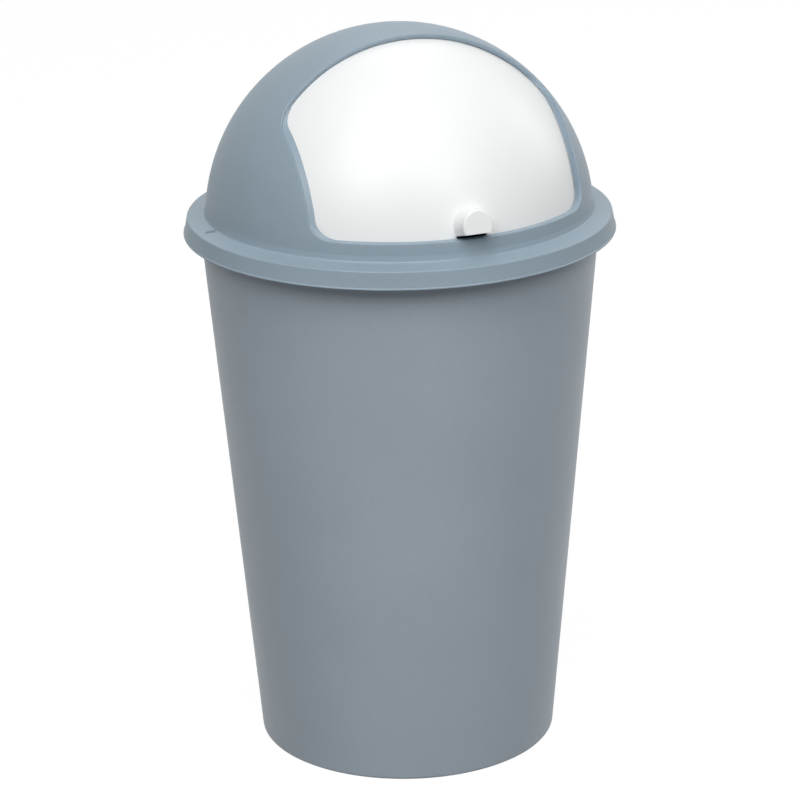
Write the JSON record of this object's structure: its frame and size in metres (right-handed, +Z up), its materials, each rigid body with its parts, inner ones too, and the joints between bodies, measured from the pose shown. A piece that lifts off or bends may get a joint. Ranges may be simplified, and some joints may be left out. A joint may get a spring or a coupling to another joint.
{
  "type": "kitchen trash can",
  "caption": "Round tapered kitchen trash can with a lift-off dome lid, whose curved flap rolls back under the dome when its hollow finger pull is lifted.",
  "frame": {"origin": "on the floor, under the middle of the bucket", "axes": "+Z up, -Y towards the flap and its finger pull, +X to the right of someone who faces the flap"},
  "size_m": [0.3958, 0.3958, 0.68],
  "materials": {
    "blue_grey_plastic": "satin",
    "white_plastic": "satin"
  },
  "bodies": {
    "bin": {"bin_body": "blue_grey_plastic"},
    "lid": {"dome_lid": "blue_grey_plastic", "pivot_pin_left": "blue_grey_plastic", "pivot_pin_right": "blue_grey_plastic"},
    "flap": {"sliding_flap": "white_plastic", "finger_pull": "white_plastic"}
  },
  "joints": [
    {"name": "lid_lift", "type": "slide", "parent": "bin", "child": "lid", "axis": [0, 0, 1], "range_m": [0, 0.25]},
    {"name": "flap_roll", "type": "hinge", "parent": "lid", "child": "flap", "pos_m": [0, 0, 0.5023], "axis": [-1, 0, 0], "range_deg": [0, 63]}
  ]
}
